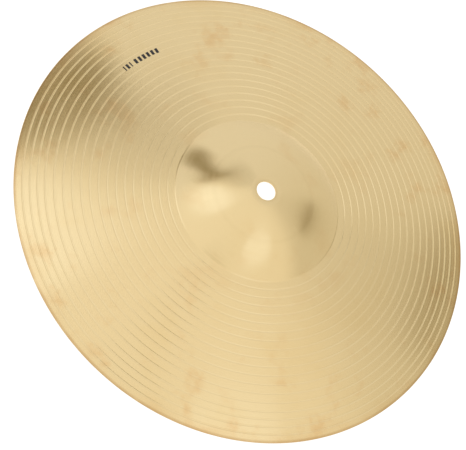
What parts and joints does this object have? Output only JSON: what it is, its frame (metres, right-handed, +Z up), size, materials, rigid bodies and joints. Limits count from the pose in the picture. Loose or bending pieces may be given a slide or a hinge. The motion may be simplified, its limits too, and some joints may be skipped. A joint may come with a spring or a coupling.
{
  "type": "splash cymbal",
  "caption": "Thin round sheet-brass splash cymbal with a domed bell, a shallow grooved bow and a plain centre hole for a stand.",
  "frame": {"origin": "on the cymbal's axis, in the plane that its edge rests on when it lies bell up", "axes": "+Z up along the axis, out through the top of the bell; X and Y are any two diameters, because the disc is round"},
  "size_m": [0.3048, 0.3048, 0.0258],
  "materials": {
    "cymbal": "lathe-brushed sheet brass, bare, lightly tarnished"
  },
  "bodies": {
    "root": {"cymbal": "cymbal"}
  },
  "joints": []
}
